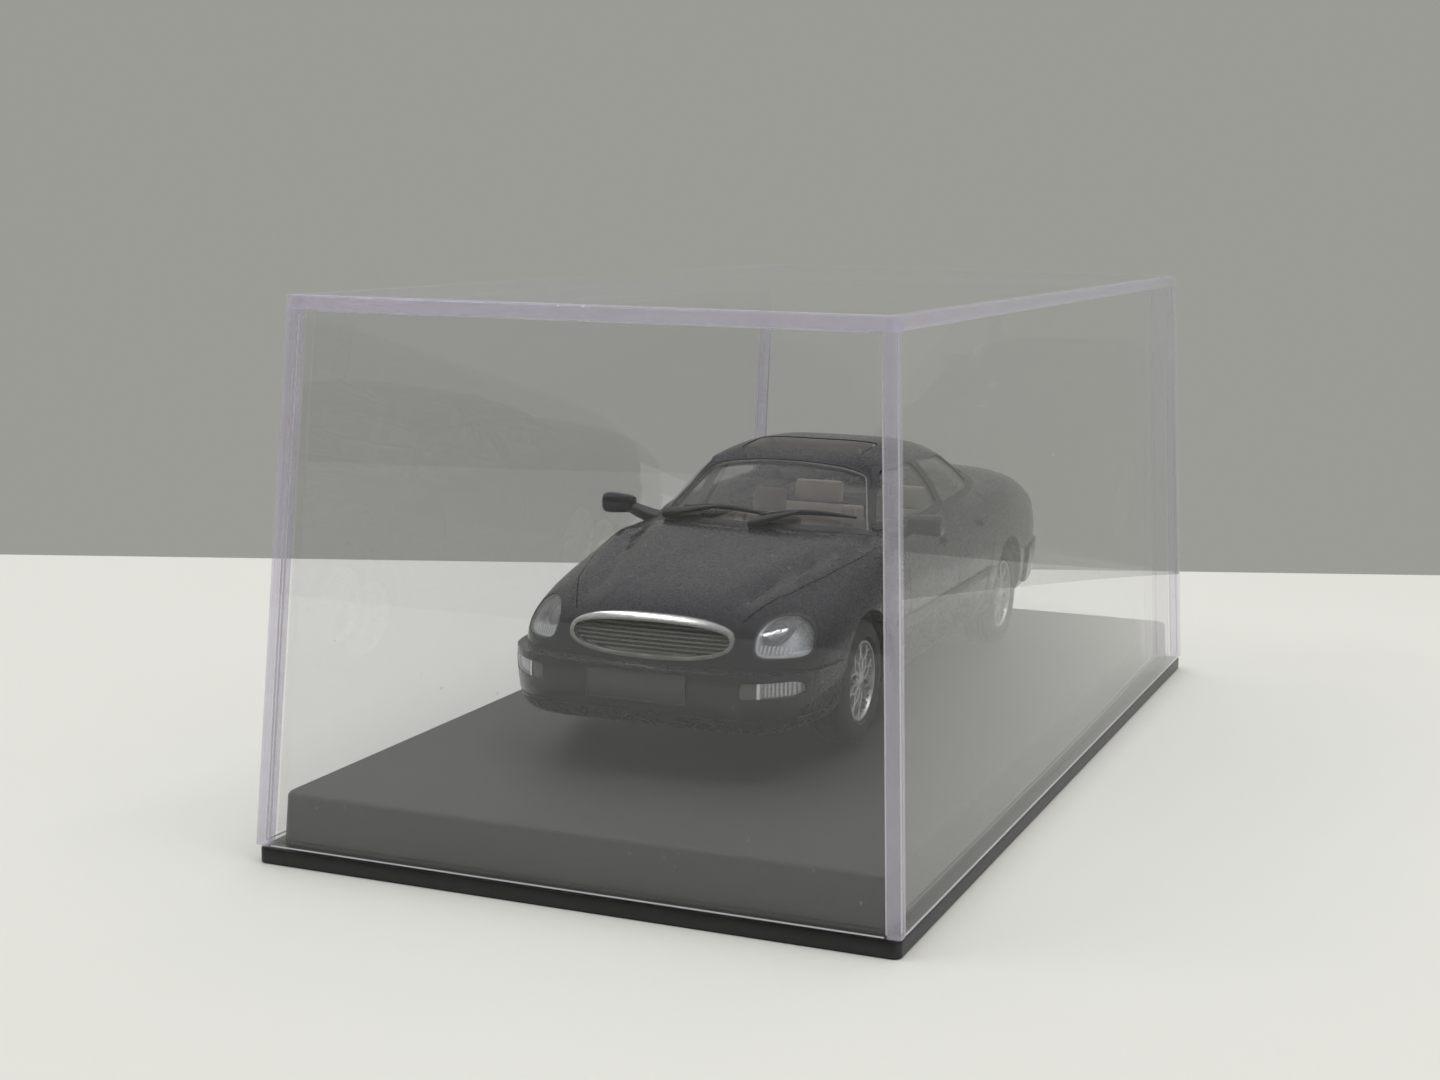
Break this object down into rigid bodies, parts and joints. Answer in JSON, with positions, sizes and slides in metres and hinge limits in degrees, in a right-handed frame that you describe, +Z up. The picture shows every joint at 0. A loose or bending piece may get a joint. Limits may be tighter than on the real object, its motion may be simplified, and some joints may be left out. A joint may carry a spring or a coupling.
{
  "type": "diecast collector car in a display case",
  "caption": "Small-scale diecast saloon car screwed to a hollow black plinth, under a clear drafted display cover that lifts off; the axles turn in the car's chassis.",
  "frame": {"origin": "bottom centre of the plinth, where the case rests on the table", "axes": "+Z up out of the plinth, +Y from the car's nose to its tail, +X towards the car's left side"},
  "size_m": [0.075, 0.1484, 0.0629],
  "materials": {
    "clear_acrylic": "clear moulded plastic, slightly lavender at its edges",
    "plinth_black": "fine matt texture on the platform, satin flange",
    "midnight_paint": "high gloss blue-black over diecast zinc",
    "window_clear": "clear moulded plastic",
    "lamp_clear": "clear moulded plastic with fine flutes",
    "lamp_silver": "silvered plastic",
    "bright_trim": "bright plated trim",
    "mirror_silver": "silver foil",
    "dark_plastic": "satin black",
    "dark_gloss": "gloss black",
    "alloy_paint": "silver painted alloy wheel",
    "tyre_rubber": "matt black rubber",
    "cabin_trim": "satin beige-brown plastic",
    "screw_steel": "plain steel",
    "lamp_red": "clear red plastic",
    "plate_blank": "blank dark plate"
  },
  "bodies": {
    "display_base": {"plinth": "plinth_black", "spacer_front": "dark_plastic", "spacer_rear": "dark_plastic", "plinth_screw_front": "screw_steel", "plinth_screw_rear": "screw_steel", "body_screw_front": "screw_steel", "body_screw_rear": "screw_steel", "body_shell": "midnight_paint", "glazing": "window_clear", "sunroof_panel": "dark_gloss", "chassis": "dark_plastic", "exhaust_pipe": "bright_trim", "grille_surround": "bright_trim", "grille_insert": "dark_plastic", "front_number_plate": "plate_blank", "rear_number_plate": "plate_blank", "boot_strip": "bright_trim", "headlamp_lens_left": "lamp_clear", "headlamp_lens_right": "lamp_clear", "headlamp_reflector_left": "lamp_silver", "headlamp_reflector_right": "lamp_silver", "bumper_lamp_left": "lamp_clear", "bumper_lamp_right": "lamp_clear", "tail_lamp_left": "lamp_red", "tail_lamp_right": "lamp_red", "side_trim_left": "dark_gloss", "side_trim_right": "dark_gloss", "door_mirror_left": "midnight_paint", "door_mirror_right": "midnight_paint", "mirror_glass_left": "mirror_silver", "mirror_glass_right": "mirror_silver", "front_door_handle_left": "midnight_paint", "front_door_handle_right": "midnight_paint", "rear_door_handle_left": "midnight_paint", "rear_door_handle_right": "midnight_paint", "wiper_left": "dark_plastic", "wiper_right": "dark_plastic", "cabin_tub": "cabin_trim", "dashboard": "dark_plastic", "steering_wheel": "dark_plastic", "front_seat_left": "cabin_trim", "front_seat_right": "cabin_trim", "rear_bench": "cabin_trim", "parcel_shelf": "dark_plastic", "inner_mirror": "dark_plastic"},
    "display_cover": {"cover": "clear_acrylic"},
    "front_wheels": {"front_axle": "screw_steel", "front_rim_left": "alloy_paint", "front_rim_right": "alloy_paint", "front_tyre_left": "tyre_rubber", "front_tyre_right": "tyre_rubber"},
    "rear_wheels": {"rear_axle": "screw_steel", "rear_rim_left": "alloy_paint", "rear_rim_right": "alloy_paint", "rear_tyre_left": "tyre_rubber", "rear_tyre_right": "tyre_rubber"}
  },
  "joints": [
    {"name": "cover_lift", "type": "slide", "parent": "display_base", "child": "display_cover", "axis": [0, 0, 1], "range_m": [0, 0.065]},
    {"name": "front_axle_spin", "type": "hinge", "parent": "display_base", "child": "front_wheels", "pos_m": [-0.002, -0.0271, 0.01653], "axis": [1, 0, 0], "continuous": true},
    {"name": "rear_axle_spin", "type": "hinge", "parent": "display_base", "child": "rear_wheels", "pos_m": [-0.002, 0.0373, 0.01653], "axis": [1, 0, 0], "continuous": true}
  ]
}
